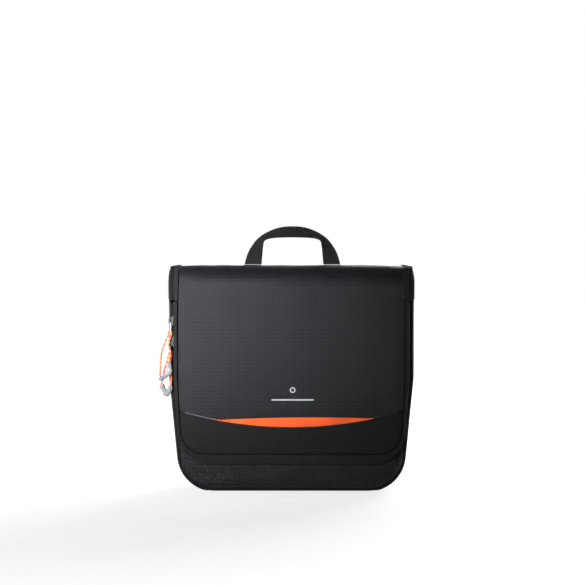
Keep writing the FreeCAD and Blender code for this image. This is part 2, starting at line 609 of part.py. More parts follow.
make_cord("pull_cord_lower", LOWER_ROUTE)
make_grip("pull_grip_upper", "upper_grip_y", (-133.3, 139.5), (-131.5, 130.4), (-142.0, 123.2))
make_grip("pull_grip_lower", "lower_grip_y", (-141.3, 115.0), (-136.0, 104.8), (-131.6, 113.2))

document.recompute()
for item in document.Objects:
    if "Invalid" in item.State or "Error" in item.State:
        raise RuntimeError(f"{item.Label} failed: {item.State}")
for part in subparts:
    if part.Shape.isNull() or not part.Shape.isValid():
        raise RuntimeError(f"{part.Label} has no valid shape")

os.makedirs("parts", exist_ok=True)
for part in subparts:
    part.Shape.exportStep(f"parts/{part.Label}.step")
print(len(subparts), "sub-parts written")
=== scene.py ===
import math

import bpy
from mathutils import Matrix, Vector, noise


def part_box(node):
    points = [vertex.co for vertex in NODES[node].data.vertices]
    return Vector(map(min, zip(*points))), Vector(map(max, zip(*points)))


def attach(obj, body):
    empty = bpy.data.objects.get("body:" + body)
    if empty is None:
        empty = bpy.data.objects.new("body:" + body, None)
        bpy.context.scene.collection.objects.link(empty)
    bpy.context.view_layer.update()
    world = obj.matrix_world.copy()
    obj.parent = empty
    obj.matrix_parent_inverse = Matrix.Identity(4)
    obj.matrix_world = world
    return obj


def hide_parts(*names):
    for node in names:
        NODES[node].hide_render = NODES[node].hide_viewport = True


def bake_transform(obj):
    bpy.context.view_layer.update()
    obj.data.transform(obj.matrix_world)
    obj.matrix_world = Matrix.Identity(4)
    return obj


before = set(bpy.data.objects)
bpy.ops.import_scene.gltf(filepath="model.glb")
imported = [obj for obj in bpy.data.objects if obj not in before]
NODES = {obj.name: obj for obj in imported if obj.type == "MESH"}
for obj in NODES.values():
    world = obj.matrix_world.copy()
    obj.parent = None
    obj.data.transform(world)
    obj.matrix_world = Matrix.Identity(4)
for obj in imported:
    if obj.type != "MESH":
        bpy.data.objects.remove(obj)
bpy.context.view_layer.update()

MM = 0.001


# ---- small helpers and shared places

def node_box(node):
    """A CAD node's lowest and highest corners, in millimetres."""
    return [[value / MM for value in corner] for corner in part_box(node)]


def edge(node, side, axis):
    """One side (0 low, 1 high) of a CAD node's box along an axis, in millimetres."""
    return node_box(node)[side][axis]


def add_object(name, data):
    made = bpy.data.objects.new(name, data)
    bpy.context.scene.collection.objects.link(made)
    return made


def set_inputs(node, **values):
    """Constant inputs by name; an underscore stands for a space."""
    for name, value in values.items():
        node.inputs[name.replace("_", " ")].default_value = value


LID_FRONT = edge("lid_upper_panel", 0, 1)
BODY_HALF = edge("front_binding", 1, 0)
TOP = edge("top_panel", 1, 2)


# ---- camera, floor and light

VIEW_WIDTH = 634.0 * MM
VIEW_CENTRE = Vector((1.1, LID_FRONT, 217.0)) * MM
LENS, SENSOR = 110.0, 36.0
TILT = math.radians(1.2)


def make_camera():
    data = bpy.data.cameras.new("camera")
    data.lens, data.sensor_width = LENS, SENSOR
    camera = add_object("camera", data)
    reach = VIEW_WIDTH * LENS / SENSOR
    camera.location = VIEW_CENTRE + Vector((0, -math.cos(TILT), math.sin(TILT))) * reach
    camera.rotation_euler = (math.pi / 2 - TILT, 0, 0)
    bpy.context.scene.camera = camera


def area_light(name, place, target, size, power, spread=180):
    data = bpy.data.lights.new(name, "AREA")
    data.shape, data.size, data.energy = "SQUARE", size, power
    data.spread = math.radians(spread)
    light = add_object(name, data)
    light.location = place
    light.rotation_euler = (Vector(target) - Vector(place)).to_track_quat("-Z", "Y").to_euler()


def make_stage():
    """A pale floor that glows to white away from the bag, and soft lights."""
    mesh = bpy.data.meshes.new("floor")
    mesh.from_pydata([(-6, -6, 0), (6, -6, 0), (6, 6, 0), (-6, 6, 0)], [], [(0, 1, 2, 3)])
    shade = Shade("floor", (0.3, 0.3, 0.3), 0.9, Specular_IOR_Level=0.05, Emission_Color=(1, 1, 1, 1))
    reach = shade.node("ShaderNodeVectorMath", operation="LENGTH")
    shade.join(shade.node("ShaderNodeTexCoord").outputs["Object"], reach.inputs[0])
    glow = shade.span(reach.outputs["Value"], (0.25, 1.0), (0.72, 1.0))
    shade.join(glow, shade.shader.inputs["Emission Strength"])
    mesh.materials.append(shade.material)
    add_object("floor", mesh)
    make_world()
    bpy.context.scene.view_settings.view_transform = "Standard"
    for light in (("key", (-0.56, -0.72, 0.29), (-0.16, 0, 0.225), 0.26, 2.9, 34),
                  ("fill", (1.3, -1.3, 0.6), (0, 0, 0.12), 0.9, 0.8),
                  ("back", (0.7, 1.5, 0.6), (0, 0, 0.12), 0.9, 48),
                  ("side", (1.5, 0.35, 0.5), (0, 0, 0.12), 0.8, 16)):
        area_light(*light)


def make_world():
    """White to the camera; as a light, dim in front so that black cloth stays black."""
    world = bpy.data.worlds.new("studio")
    world.use_nodes = True
    tree = world.node_tree
    add, join = tree.nodes.new, tree.links.new
    lit, seen = tree.nodes["Background"], add("ShaderNodeBackground")
    set_inputs(lit, Color=(1, 1, 1, 1))
    set_inputs(seen, Color=(1, 1, 1, 1), Strength=1.0)
    split, level = add("ShaderNodeSeparateXYZ"), add("ShaderNodeMapRange")
    set_inputs(level, From_Min=-0.3, From_Max=0.9, To_Min=0.06, To_Max=0.45)
    join(add("ShaderNodeTexCoord").outputs["Generated"], split.inputs[0])
    join(split.outputs[1], level.inputs["Value"])
    join(level.outputs["Result"], lit.inputs["Strength"])
    mix = add("ShaderNodeMixShader")
    join(add("ShaderNodeLightPath").outputs["Is Camera Ray"], mix.inputs[0])
    join(lit.outputs[0], mix.inputs[1])
    join(seen.outputs[0], mix.inputs[2])
    join(mix.outputs[0], tree.nodes["World Output"].inputs["Surface"])
    bpy.context.scene.world = world


# ---- materials

class Shade:
    """A small builder for one material's nodes."""

    def __init__(self, name, color, roughness, **sockets):
        self.material = bpy.data.materials.new(name)
        self.material.use_nodes = True
        self.tree = self.material.node_tree
        self.shader = self.tree.nodes["Principled BSDF"]
        set_inputs(self.shader, Base_Color=(*color, 1), Roughness=roughness, **sockets)

    def node(self, kind, **settings):
        made = self.tree.nodes.new(kind)
        for key, value in settings.items():
            setattr(made, key, value)
        return made

    def join(self, source, target):
        self.tree.links.new(source, target)

    def math(self, operation, first, second=None, third=None):
        made = self.node("ShaderNodeMath", operation=operation)
        for index, value in enumerate((first, second, third)):
            if value is None:
                continue
            if isinstance(value, (int, float)):
                made.inputs[index].default_value = value
            else:
                self.join(value, made.inputs[index])
        return made.outputs[0]

    def cloth(self):
        """Distances along and across the cloth, in millimetres, kept on each mesh."""
        attribute = self.node("ShaderNodeAttribute", attribute_name="cloth")
        split = self.node("ShaderNodeSeparateXYZ")
        self.join(attribute.outputs["Vector"], split.inputs[0])
        return attribute.outputs["Vector"], split.outputs[0], split.outputs[1]

    def line(self, along, period, share):
        """1 on a line of this share of each period, 0 between, with soft edges."""
        phase = self.math("FRACT", self.math("DIVIDE", along, period))
        away = self.math("ABSOLUTE", self.math("SUBTRACT", phase, 0.5))
        return self.span(away, (share * 0.5 + 0.08, max(share * 0.5 - 0.08, 0.0)), (0.0, 1.0),
                         interpolation_type="SMOOTHSTEP")

    def span(self, value, source, target, **settings):
        """Map one span of values to another."""
        made = self.node("ShaderNodeMapRange", **settings)
        set_inputs(made, From_Min=source[0], From_Max=source[1], To_Min=target[0], To_Max=target[1])
        self.join(value, made.inputs["Value"])
        return made.outputs["Result"]

    def wave(self, along, period):
        return self.math("SINE", self.math("MULTIPLY", along, 2 * math.pi / period))

    def grain(self, vector, scale):
        made = self.node("ShaderNodeTexNoise")
        set_inputs(made, Scale=scale, Detail=3.0)
        self.join(vector, made.inputs["Vector"])
        return made.outputs["Fac"]

    def mix(self, amount, first, second):
        made = self.node("ShaderNodeMix", data_type="RGBA")
        self.join(amount, made.inputs["Factor"])
        for socket, value in ((6, first), (7, second)):
            if isinstance(value, tuple):
                made.inputs[socket].default_value = (*value, 1)
            else:
                self.join(value, made.inputs[socket])
        return made.outputs[2]

    def paint(self, color):
        self.join(color, self.shader.inputs["Base Color"])

    def rough(self, amount, low, high):
        self.join(self.span(amount, (0.0, 1.0), (low, high)), self.shader.inputs["Roughness"])

    def bump(self, height, distance):
        made = self.node("ShaderNodeBump")
        set_inputs(made, Strength=1.0, Distance=distance)
        self.join(height, made.inputs["Height"])
        self.join(made.outputs["Normal"], self.shader.inputs["Normal"])


GRID = 4.1      # millimetres between the thick threads of the ripstop


def brighter(color, factor):
    return tuple(min(1.0, channel * factor) for channel in color)


def ripstop(name, color, line_color):
    """Nylon with a square grid of thicker threads over a fine weave."""
    shade = Shade(name, color, 0.4, Specular_IOR_Level=0.11)
    vector, along, across = shade.cloth()
    grid = shade.math("MAXIMUM", shade.line(along, GRID, 0.2), shade.line(across, GRID, 0.2))
    weave = shade.math("MULTIPLY", shade.wave(along, 0.5), shade.wave(across, 0.5))
    patch = shade.grain(vector, 0.02)
    tone = shade.mix(patch, brighter(color, 0.8), brighter(color, 1.25))
    shade.paint(shade.mix(grid, tone, line_color))
    shade.rough(patch, 0.36, 0.5)
    height = shade.math("ADD", shade.math("MULTIPLY", grid, 0.8), shade.math("MULTIPLY", weave, 0.25))
    shade.bump(height, 0.0002)
    return shade.material


def plain_weave(name, color, period=0.9, roughness=0.6):
    shade = Shade(name, color, roughness, Specular_IOR_Level=0.1)
    vector, along, across = shade.cloth()
    warp = shade.wave(along, period)
    weft = shade.wave(across, period)
    weave = shade.math("MULTIPLY", warp, weft)
    patch = shade.grain(vector, 0.05)
    shade.paint(shade.mix(patch, brighter(color, 0.78), brighter(color, 1.3)))
    shade.rough(patch, roughness - 0.08, min(roughness + 0.1, 1))
    shade.bump(shade.math("ADD", weave, shade.math("MULTIPLY", warp, 0.6)), 0.00012)
    return shade.material


def ribbed(name, color, period, rise=0.0002):
    """Grosgrain, webbing or elastic: ribs across the tape, with a painted highlight on the rib crests,
    painted shade between the ribs, and patches of random tone.
    """
    shade = Shade(name, color, 0.65, Specular_IOR_Level=0.1)
    vector, along, across = shade.cloth()
    ribs = shade.wave(along, period)
    threads = shade.wave(across, 0.7)
    patch = shade.grain(vector, 0.08)
    # Painted shade and highlight: the colour follows the ribs, darker between them and lighter on their
    # crests, mixed with random patches.
    lit = shade.math("MULTIPLY_ADD", ribs, 0.25, patch)
    shade.paint(shade.mix(lit, brighter(color, 0.7), brighter(color, 1.4)))
    shade.rough(patch, 0.55, 0.77)
    shade.bump(shade.math("MULTIPLY_ADD", threads, 0.25, ribs), rise)
    return shade.material


def moulded(name, color, roughness, metallic=0.0, coat=0.0):
    """Plastic, enamel or metal with a fine grain and slight rubbing."""
    shade = Shade(name, color, roughness, Metallic=metallic, Coat_Weight=coat)
    coordinates = shade.node("ShaderNodeTexCoord")
    fine = shade.grain(coordinates.outputs["Object"], 1500.0)
    broad = shade.grain(coordinates.outputs["Object"], 160.0)
    shade.paint(shade.mix(broad, brighter(color, 0.8), brighter(color, 1.3)))
    shade.rough(broad, max(roughness - 0.1, 0.05), roughness + 0.12)
    shade.bump(fine, 0.00003)
    return shade.material


def braided_cord(name, color, fleck):
    """Braided cord: crossing diagonal strands with painted shade between them, and pale flecks."""
    shade = Shade(name, color, 0.6, Sheen_Weight=0.3)
    coordinates = shade.node("ShaderNodeTexCoord")
    split = shade.node("ShaderNodeSeparateXYZ")
    shade.join(coordinates.outputs["Object"], split.inputs[0])
    scaled = shade.math("MULTIPLY", split.outputs[2], 1000.0)
    sideways = shade.math("MULTIPLY", split.outputs[0], 1000.0)
    one = shade.wave(shade.math("ADD", scaled, sideways), 1.3)
    other = shade.wave(shade.math("SUBTRACT", scaled, sideways), 1.3)
    flecks = shade.line(scaled, 4.7, 0.22)
    strands = shade.math("MULTIPLY", one, other)
    pale = shade.math("MULTIPLY", flecks, shade.math("GREATER_THAN", one, 0.1))
    # Painted shade: the colour darkens where the crossing strands dip, between them.
    tone = shade.mix(shade.math("MULTIPLY_ADD", strands, 0.3, 0.5), brighter(color, 0.7), color)
    shade.paint(shade.mix(pale, tone, fleck))
    shade.bump(strands, 0.0002)
    return shade.material


def open_mesh(name, color):
    """Knitted mesh: dark threads with round openings between them."""
    shade = Shade(name, color, 0.7)
    _, along, across = shade.cloth()
    holes = shade.math("MULTIPLY", shade.line(along, 2.4, 0.62), shade.line(across, 2.4, 0.62))
    shade.join(shade.math("SUBTRACT", 1.0, holes), shade.shader.inputs["Alpha"])
    shade.bump(holes, 0.0003)
    return shade.material


FINISHES = {
    "ripstop": (ripstop, (0.0018, 0.0016, 0.0028), (0.0065, 0.0062, 0.0085)),
    "ripstop_side": (ripstop, (0.0022, 0.0021, 0.0032), (0.006, 0.0058, 0.008)),
    "plain_weave": (plain_weave, (0.0035, 0.0035, 0.0036)),
    "lining": (plain_weave, (0.09, 0.09, 0.1), 0.7),
    "foam": (plain_weave, (0.2, 0.2, 0.2), 1.2),
    "binding": (ribbed, (0.0055, 0.0056, 0.0054), 1.25),
    "edge": (ribbed, (0.003, 0.003, 0.0032), 1.1),
    "webbing": (ribbed, (0.0055, 0.0055, 0.0058), 1.6, 0.0003),
    "accent": (plain_weave, (0.5, 0.066, 0.013), 0.8, 0.62),
    "mesh": (open_mesh, (0.03, 0.03, 0.033)),
    "elastic": (ribbed, (0.03, 0.03, 0.032), 1.0),
    "thread": (ribbed, (0.024, 0.024, 0.025), 0.5),
    "zip_tape": (ribbed, (0.008, 0.008, 0.0085), 0.9),
    "zip_teeth": (moulded, (0.01, 0.01, 0.011), 0.35),
    "slider_metal": (moulded, (0.006, 0.0062, 0.007), 0.4, 0.3, 0.2),
    "tab_metal": (moulded, (0.16, 0.18, 0.2), 0.35, 0.8),
    "pull_cord": (braided_cord, (0.62, 0.06, 0.012), (0.75, 0.4, 0.26)),
    "pull_grip": (moulded, (0.042, 0.042, 0.046), 0.5),
    "hook_plastic": (moulded, (0.014, 0.014, 0.015), 0.42),
    "print": (moulded, (0.3, 0.31, 0.33), 0.6),
}
MATERIALS = {name: make(name, *settings) for name, (make, *settings) in FINISHES.items()}


# ---- mesh helpers

def finish_piece(name, mesh, material, body, thickness=0.0, subdivide=0, offset=-1.0, nodes=()):
    """Link a mesh as a piece: material, thickness, subdivision, body and the nodes it stands for."""
    piece = add_object(name, mesh)
    mesh.materials.append(MATERIALS[material])
    mesh.polygons.foreach_set("use_smooth", [True] * len(mesh.polygons))
    if thickness:
        solid = piece.modifiers.new("thickness", "SOLIDIFY")
        solid.thickness, solid.offset, solid.use_even_offset = thickness * MM, offset, False
    if subdivide:
        smooth = piece.modifiers.new("smooth", "SUBSURF")
        smooth.levels = smooth.render_levels = subdivide
    if nodes:
        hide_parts(*nodes)
    if body:
        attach(piece, body)
    return piece


def mesh_from(name, points, faces, cloth):
    """A mesh from points in millimetres, with the cloth's own distances kept as an attribute."""
    mesh = bpy.data.meshes.new(name)
    mesh.from_pydata([Vector(point) * MM for point in points], [], faces)
    values = mesh.attributes.new("cloth", "FLOAT_VECTOR", "POINT")
    values.data.foreach_set("vector", [number for place in cloth for number in (*place, 0.0)])
    mesh.update()
    return mesh


def grid_faces(rows, columns, wrap_rows=False, wrap_columns=False):
    faces = []
    for row in range(rows if wrap_rows else rows - 1):
        for column in range(columns if wrap_columns else columns - 1):
            below, beside = (row + 1) % rows, (column + 1) % columns
            faces.append((row * columns + column, row * columns + beside,
                          below * columns + beside, below * columns + column))
    return faces


def sheet(name, rows, columns, at, flip=False):
    """An open sheet; at(row, column) gives a grid point and its cloth place."""
    grid = [at(row, column) for row in range(rows + 1) for column in range(columns + 1)]
    faces = grid_faces(rows + 1, columns + 1)
    if flip:
        faces = [tuple(reversed(face)) for face in faces]
    return mesh_from(name, [point for point, place in grid], faces, [place for point, place in grid])


def tube_faces(first, levels, sides):
    """Faces of a short capped tube whose rings follow each other from point first."""
    last = first + (levels - 1) * sides
    faces = []
    for low in range(first, last, sides):
        for step in range(sides):
            beside = low + (step + 1) % sides
            faces.append((low + step, beside, beside + sides, low + step + sides))
    return faces + [tuple(reversed(range(first, first + sides))), tuple(range(last, last + sides))]


def places_along(path, first, pitch):
    """Even steps along a path: (segment, point, direction, distance)."""
    run, wanted = 0.0, first
    for index, (start, end) in enumerate(zip(path, path[1:])):
        start, end = Vector(start), Vector(end)
        reach = (end - start).length
        while reach > 0 and wanted < run + reach:
            yield index, start.lerp(end, (wanted - run) / reach), (end - start).normalized(), wanted
            wanted += pitch
        run += reach


def swept_band(name, sections, closed):
    """Closed rings of (point, cloth place) pairs joined into a tube, capped unless it closes."""
    points = [point for ring in sections for point, place in ring]
    cloth = [place for ring in sections for point, place in ring]
    count = len(sections[0])
    faces = grid_faces(len(sections), count, wrap_rows=closed, wrap_columns=True)
    if not closed:
        last = (len(sections) - 1) * count
        faces.append(tuple(reversed(range(count))))
        faces.append(tuple(range(last, last + count)))
    return mesh_from(name, points, faces, cloth)


def runs_along(points):
    """How far along a line each of its points lies."""
    runs = [0.0]
    for start, end in zip(points, points[1:]):
        runs.append(runs[-1] + math.dist(start, end))
    return runs


def between(near, far, share):
    return [low + (high - low) * share for low, high in zip(near, far)]


def ease(value):
    value = min(max(value, 0.0), 1.0)
    return value * value * (3 - 2 * value)


def rumple(first, second, scale, seed):
    """Smooth repeatable unevenness between about -1 and 1."""
    return noise.noise(Vector((first / scale, second / scale, seed)))


# ---- outlines of the bag

SIDE_BEND = 122.0


class Outline:
    """A bucket shape: upright sides, a slight lean below the bend and round lower corners."""

    def __init__(self, half, bottom, corner_x, radius):
        self.half, self.bottom, self.corner_x, self.radius = half, bottom, corner_x, radius
        across, up = half - corner_x, SIDE_BEND - (bottom + radius)
        self.angle = math.atan2(up, across) - math.acos(radius / math.hypot(across, up))
        self.touch = (corner_x + radius * math.cos(self.angle),
                      bottom + radius * (1 + math.sin(self.angle)))

    def inset(self, amount):
        return Outline(self.half - amount, self.bottom + amount, self.corner_x, self.radius - amount)

    def width_at(self, height):
        """Half the width at a height."""
        if height >= SIDE_BEND:
            return self.half
        if height >= self.touch[1]:
            share = (height - self.touch[1]) / (SIDE_BEND - self.touch[1])
            return self.touch[0] + share * (self.half - self.touch[0])
        down = self.bottom + self.radius - height
        return self.corner_x + math.sqrt(max(self.radius ** 2 - down ** 2, 0))

    def half_path(self, top, upright=30, lean=14, corner=16, base=24):
        """Points down the left side to the middle of the bottom."""
        points = [(-self.half, top + (SIDE_BEND - top) * step / upright) for step in range(upright)]
        for step in range(lean):
            share = step / lean
            points.append((-self.half + share * (self.half - self.touch[0]),
                           SIDE_BEND + share * (self.touch[1] - SIDE_BEND)))
        for step in range(corner):
            angle = self.angle + step / corner * (-math.pi / 2 - self.angle)
            points.append((-self.corner_x - self.radius * math.cos(angle),
                           self.bottom + self.radius * (1 + math.sin(angle))))
        points += [(-self.corner_x * (1 - step / base), self.bottom) for step in range(base + 1)]
        return points

    def path(self, top):
        left = self.half_path(top)
        return left + [(-across, up) for across, up in reversed(left[:-1])]


BODY = Outline(BODY_HALF, 0.0, 84.0, 40.0)
LID = Outline(edge("lid_binding", 1, 0), edge("lid_binding", 0, 2), 86.5, 37.5)
FABRIC = Outline(123.0, 41.5, 94.0, 26.0)
HINGE = edge("lid_binding", 1, 2)
FOLD_RADIUS = 24.0
EDGE_WIDTH = 4.4
ZIP_TOP = 196
FOLD_BEND = TOP - FOLD_RADIUS
BACK = edge("top_panel", 1, 1)
SEAM_CENTRE, SEAM_RADIUS = 71.3, 432.7
ACCENT_LEFT, ACCENT_RIGHT = (-79.0, 78.2), (88.5, 80.0)
ACCENT_CROWN = 2.0


def seam(across):
    return SEAM_CENTRE + across * across / (2 * SEAM_RADIUS)


def upper_edge(across):
    """Lower edge of the upper fabric: the seam, or the crescent's top where it opens."""
    if not ACCENT_LEFT[0] < across < ACCENT_RIGHT[0]:
        return seam(across)
    share = (across - ACCENT_LEFT[0]) / (ACCENT_RIGHT[0] - ACCENT_LEFT[0])
    level = ACCENT_LEFT[1] + share * (ACCENT_RIGHT[1] - ACCENT_LEFT[1])
    return level + ACCENT_CROWN * 4 * share * (1 - share)


def edge_crown(share, tightness=10.0):
    """0 on the sewn edges, 1 over the padded middle; share runs from -1 to 1."""
    return 1 - abs(share) ** tightness


def lid_rise(across, up):
    """How far the lid's fabric stands out in front of its plane, in millimetres."""
    side = abs(across) / FABRIC.width_at(up)
    low = ease((up - upper_edge(across)) / 16)
    crown = 2.3 * edge_crown(side, 9) * (0.35 + 0.65 * low)
    near_side = ease((side - 0.74) / 0.2) * (1 - ease((side - 0.96) / 0.05))
    pucker = 0.55 * near_side * rumple(across * 0.35, up * 2.2, 11, 3.1)
    lower_left = ease((110 - up) / 30) * ease((-across - 60) / 40)
    pucker += 0.5 * lower_left * near_side * rumple(across * 0.5, up * 3, 9, 7.7)
    soft = 0.9 * rumple(across, up * 0.7, 62, 1.7) + 0.35 * rumple(across * 1.3, up, 24, 5.2)
    return crown + pucker + soft * edge_crown(side, 6) * (0.4 + 0.6 * low)


def make_lid_fabric():
    """One piece of cloth from the curved seam up the lid and over the fold to the back."""
    columns, lid_rows, arc_rows, top_rows = 132, 84, 18, 26

    def at(row, column):
        share = 2 * column / columns - 1
        share = math.copysign(1 - (1 - abs(share)) ** 1.25, share)
        if row <= lid_rows:
            low = upper_edge(share * 122)
            up = low + (FOLD_BEND - low) * row / lid_rows
            across = share * FABRIC.width_at(up)
            return (across, LID_FRONT - lid_rise(across, up) + 0.6, up), (across, up)
        across = share * FABRIC.half
        rise = lid_rise(across, FOLD_BEND) - 0.6
        if row <= lid_rows + arc_rows:
            angle = (row - lid_rows) / arc_rows * math.pi / 2
            reach = FOLD_RADIUS + rise * (1 - angle / math.pi)
            return ((across, LID_FRONT + FOLD_RADIUS - reach * math.cos(angle),
                     FOLD_BEND + reach * math.sin(angle)), (across, FOLD_BEND + FOLD_RADIUS * angle))
        part = (row - lid_rows - arc_rows) / top_rows
        depth = LID_FRONT + FOLD_RADIUS + part * (BACK - LID_FRONT - FOLD_RADIUS)
        sag = 0.5 * rise * (1 - ease(part * 3)) + 0.9 * edge_crown(2 * part - 1, 4) * (
            edge_crown(share, 8) * (0.6 + rumple(across, depth, 26, 9.0)))
        return ((across, depth, TOP + sag - 0.2),
                (across, FOLD_BEND + FOLD_RADIUS * math.pi / 2 + depth - LID_FRONT))

    mesh = sheet("lid_fabric", lid_rows + arc_rows + top_rows, columns, at)
    piece = finish_piece("lid_fabric", mesh, "ripstop", None, thickness=1.6, subdivide=1,
                         nodes=("top_panel", "lid_upper_panel", "lid_foam"))
    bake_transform(piece)


def make_lower_fabric():
    """The lid's plain lower panel, padded, with its outer edges tucked under the binding."""
    columns, count = 132, 26
    outline = FABRIC.inset(-1.6)

    def at(row, column):
        part, share = row / count, 2 * column / columns - 1
        high = seam(share * 121) - 0.3
        up = outline.bottom + (high - outline.bottom) * part
        across = share * outline.width_at(up)
        crown = 1.5 * edge_crown(share, 14) * edge_crown(2 * part - 1, 4)
        folds = 0.5 * rumple(across * 0.5, up * 1.2, 16, 4.4) * edge_crown(2 * part - 1, 4)
        tucked = 2.4 if row == 0 or column in (0, columns) else 0
        return (across, LID_FRONT + 0.75 - crown - folds + tucked, up), (across, up)

    mesh = sheet("lid_lower_fabric", count, columns, at)
    piece = finish_piece("lid_lower_fabric", mesh, "plain_weave", "lid", thickness=1.3, subdivide=1,
                         nodes=("lid_lower_panel",))


def make_accent():
    """The orange crescent: a strip of cloth that shows between the two panels."""
    columns, count = 96, 8

    def at(row, column):
        across = ACCENT_LEFT[0] - 1 + (ACCENT_RIGHT[0] - ACCENT_LEFT[0] + 2) * column / columns
        low, high = seam(across) - 0.8, upper_edge(across) + 1.2
        up = low + (high - low) * row / count
        bow = 0.5 * math.sin(math.pi * row / count)
        return (across, LID_FRONT + 0.55 - bow, up), (across, up)

    mesh = sheet("lid_accent_cloth", count, columns, at)
    finish_piece("lid_accent_cloth", mesh, "accent", "lid", thickness=0.7, subdivide=1,
                 nodes=("lid_accent",))


# ---- bindings and seams

def rounded_section(steps=5):
    """A unit section with rounded long edges: (share of the width, share of the thickness)."""
    ring = []
    for corner_w, corner_t, start in ((0.82, 0.7, 0.0), (0.18, 0.7, 0.5), (0.18, 0.3, 1.0),
                                      (0.82, 0.3, 1.5)):
        for step in range(steps):
            angle = math.pi * (start + 0.5 * step / (steps - 1))
            ring.append((corner_w + 0.18 * math.cos(angle), corner_t + 0.3 * math.sin(angle)))
    return ring


def outline_band(name, outside, inside, node, material, body, proud=0.0, wave=0.0, seed=0.0,
                 width=None, closed=False):
    """A folded tape round the bag, between two lines and a CAD node's two planes."""
    back, front = edge(node, 1, 1), edge(node, 0, 1) - proud
    sections = []
    for near, far, run in zip(outside, inside, runs_along(outside)):
        uneven = wave * rumple(run, 0, 14, seed)
        ring = []
        for width_share, thick_share in rounded_section():
            across, up = between(near, far, width_share)
            depth = back + (front - back) * thick_share - uneven * thick_share
            place = (run, width_share * (width or math.dist(near, far)) + thick_share * (back - front))
            ring.append(((across, depth, up), place))
        sections.append(ring)
    mesh = swept_band(name, sections, closed)
    return finish_piece(name, mesh, material, body, subdivide=1, nodes=(node,))


def stitch_row(name, path, body, length=2.6, gap=1.3, radius=0.28):
    """A row of sewn stitches: short rounded threads laid along a path of points."""
    sides = 5
    points, faces, cloth = [], [], []
    for _, middle, along, run in places_along(path, gap, length + gap):
        upright = Vector((0, 1, 0)) if abs(along.y) < 0.9 else Vector((1, 0, 0))
        side = along.cross(upright).normalized()
        other = along.cross(side)
        faces += tube_faces(len(points), 4, sides)
        for shift, swell in ((-0.5, 0.35), (-0.3, 1.0), (0.3, 1.0), (0.5, 0.35)):
            for step in range(sides):
                angle = 2 * math.pi * step / sides
                arm = (side * math.cos(angle) + other * math.sin(angle)) * radius * swell
                points.append(tuple(middle + along * length * shift + arm))
                cloth.append((run + shift * length, angle * radius))
    mesh = mesh_from(name, points, faces, cloth)
    return finish_piece(name, mesh, "thread", body)


def make_bindings():
    high = HINGE + 0.2
    outline_band("lid_binding_tape", LID.path(high), FABRIC.inset(-0.6).path(high), "lid_binding",
                 "binding", "lid", proud=0.6, wave=0.25, seed=2.0)
    front = edge("lid_binding", 0, 1)
    path = [(across, front - 0.75, up) for across, up in FABRIC.inset(-1.9).path(HINGE - 2)]
    stitch_row("lid_binding_stitches", path, "lid")
    high = edge("front_binding", 1, 2)
    outline_band("body_front_piping", BODY.path(high), BODY.inset(EDGE_WIDTH).path(high),
                 "front_binding", "edge", "root", wave=0.15, seed=5.0)


def make_back_ring():
    """Binding round the whole back panel, with small radii at the two top corners."""
    inner, inner_top = BODY.inset(EDGE_WIDTH), TOP - EDGE_WIDTH
    shares = [1 - step / 15 for step in range(31)]
    outside = BODY.path(TOP - 1) + [(BODY_HALF * share - 1, TOP) for share in shares]
    inside = inner.path(inner_top) + [(inner.half * share, inner_top) for share in shares]
    outline_band("back_binding_tape", outside, inside, "back_binding", "edge", "root",
                 width=EDGE_WIDTH, closed=True)
    depth = edge("back_binding", 1, 1) + 0.1
    path = [(across, depth, up) for across, up in BODY.inset(3.4).path(TOP - 6)]
    stitch_row("back_binding_stitches", path, "root")


def fold_profile(offset, low):
    """Points (y, z) along the top fold, this far outside it, from the hinge to the back."""
    points = [(LID_FRONT - offset, low + (FOLD_BEND - low) * step / 6) for step in range(6)]
    for step in range(15):
        angle = step / 14 * math.pi / 2
        points.append((LID_FRONT + FOLD_RADIUS - (FOLD_RADIUS + offset) * math.cos(angle),
                       FOLD_BEND + (FOLD_RADIUS + offset) * math.sin(angle)))
    reach = BACK - LID_FRONT - FOLD_RADIUS
    points += [(LID_FRONT + FOLD_RADIUS + reach * step / 12, TOP + offset) for step in range(1, 13)]
    return points


def make_top_strips():
    """The wide bound ends of the fold: two tapes sewn side by side at each end."""
    low = HINGE + 0.3
    inside = fold_profile(-3.2, low)
    tapes = (("edge", "edge", BODY_HALF, 128.0, 0.1), ("tape", "binding", 128.1, 122.4, 0.9))
    for side, node in ((-1, "top_strip_left"), (1, "top_strip_right")):
        for label, material, near, far, proud in tapes:
            outside = fold_profile(proud, low)
            sections = []
            for outer, inner, run in zip(outside, inside, runs_along(outside)):
                ring = []
                for width_share, thick_share in rounded_section():
                    depth, up = between(inner, outer, thick_share)
                    across = side * (near + (far - near) * width_share)
                    place = (run, width_share * abs(far - near) + thick_share * 3)
                    ring.append(((across, depth, up), place))
                sections.append(ring if side > 0 else list(reversed(ring)))
            name = f"{node}_{label}"
            mesh = swept_band(name, sections, closed=False)
            finish_piece(name, mesh, material, "root", subdivide=1, nodes=(node,))
        path = [(side * 123.8, depth, up) for depth, up in fold_profile(1.0, low)]
        stitch_row(f"{node}_stitches", path, "root")


# ---- body of the bag

def make_front_panel():
    """The body's front: a frame round the compartment's mouth, soft below the lid."""
    top, count = 206, 20
    outside, inside = BODY.inset(4.0).path(top), Outline(112.0, 46.0, 90.0, 21.0).path(top)
    front = edge("front_panel", 0, 1)

    def at(row, column):
        part = row / count
        across, up = between(outside[column], inside[column], part)
        low_down = ease((44 - up) / 14)
        crown = (2.6 * low_down + 0.3) * edge_crown(2 * min(part * 1.25, 1.0) - 1, 4)
        folds = low_down * edge_crown(2 * min(part * 1.2, 1) - 1, 4) * (
            1.5 * rumple(across * 0.6, up * 2.0, 26, 8.8) + 0.8 * rumple(across, up * 2.0, 11, 2.4))
        return (across, front + 0.4 - max(crown + folds, -0.2), up), (across, up)

    mesh = sheet("front_lower_fabric", count, len(outside) - 1, at, flip=True)
    piece = finish_piece("front_lower_fabric", mesh, "ripstop", "root", thickness=2.4, subdivide=1,
                         nodes=("front_panel",))


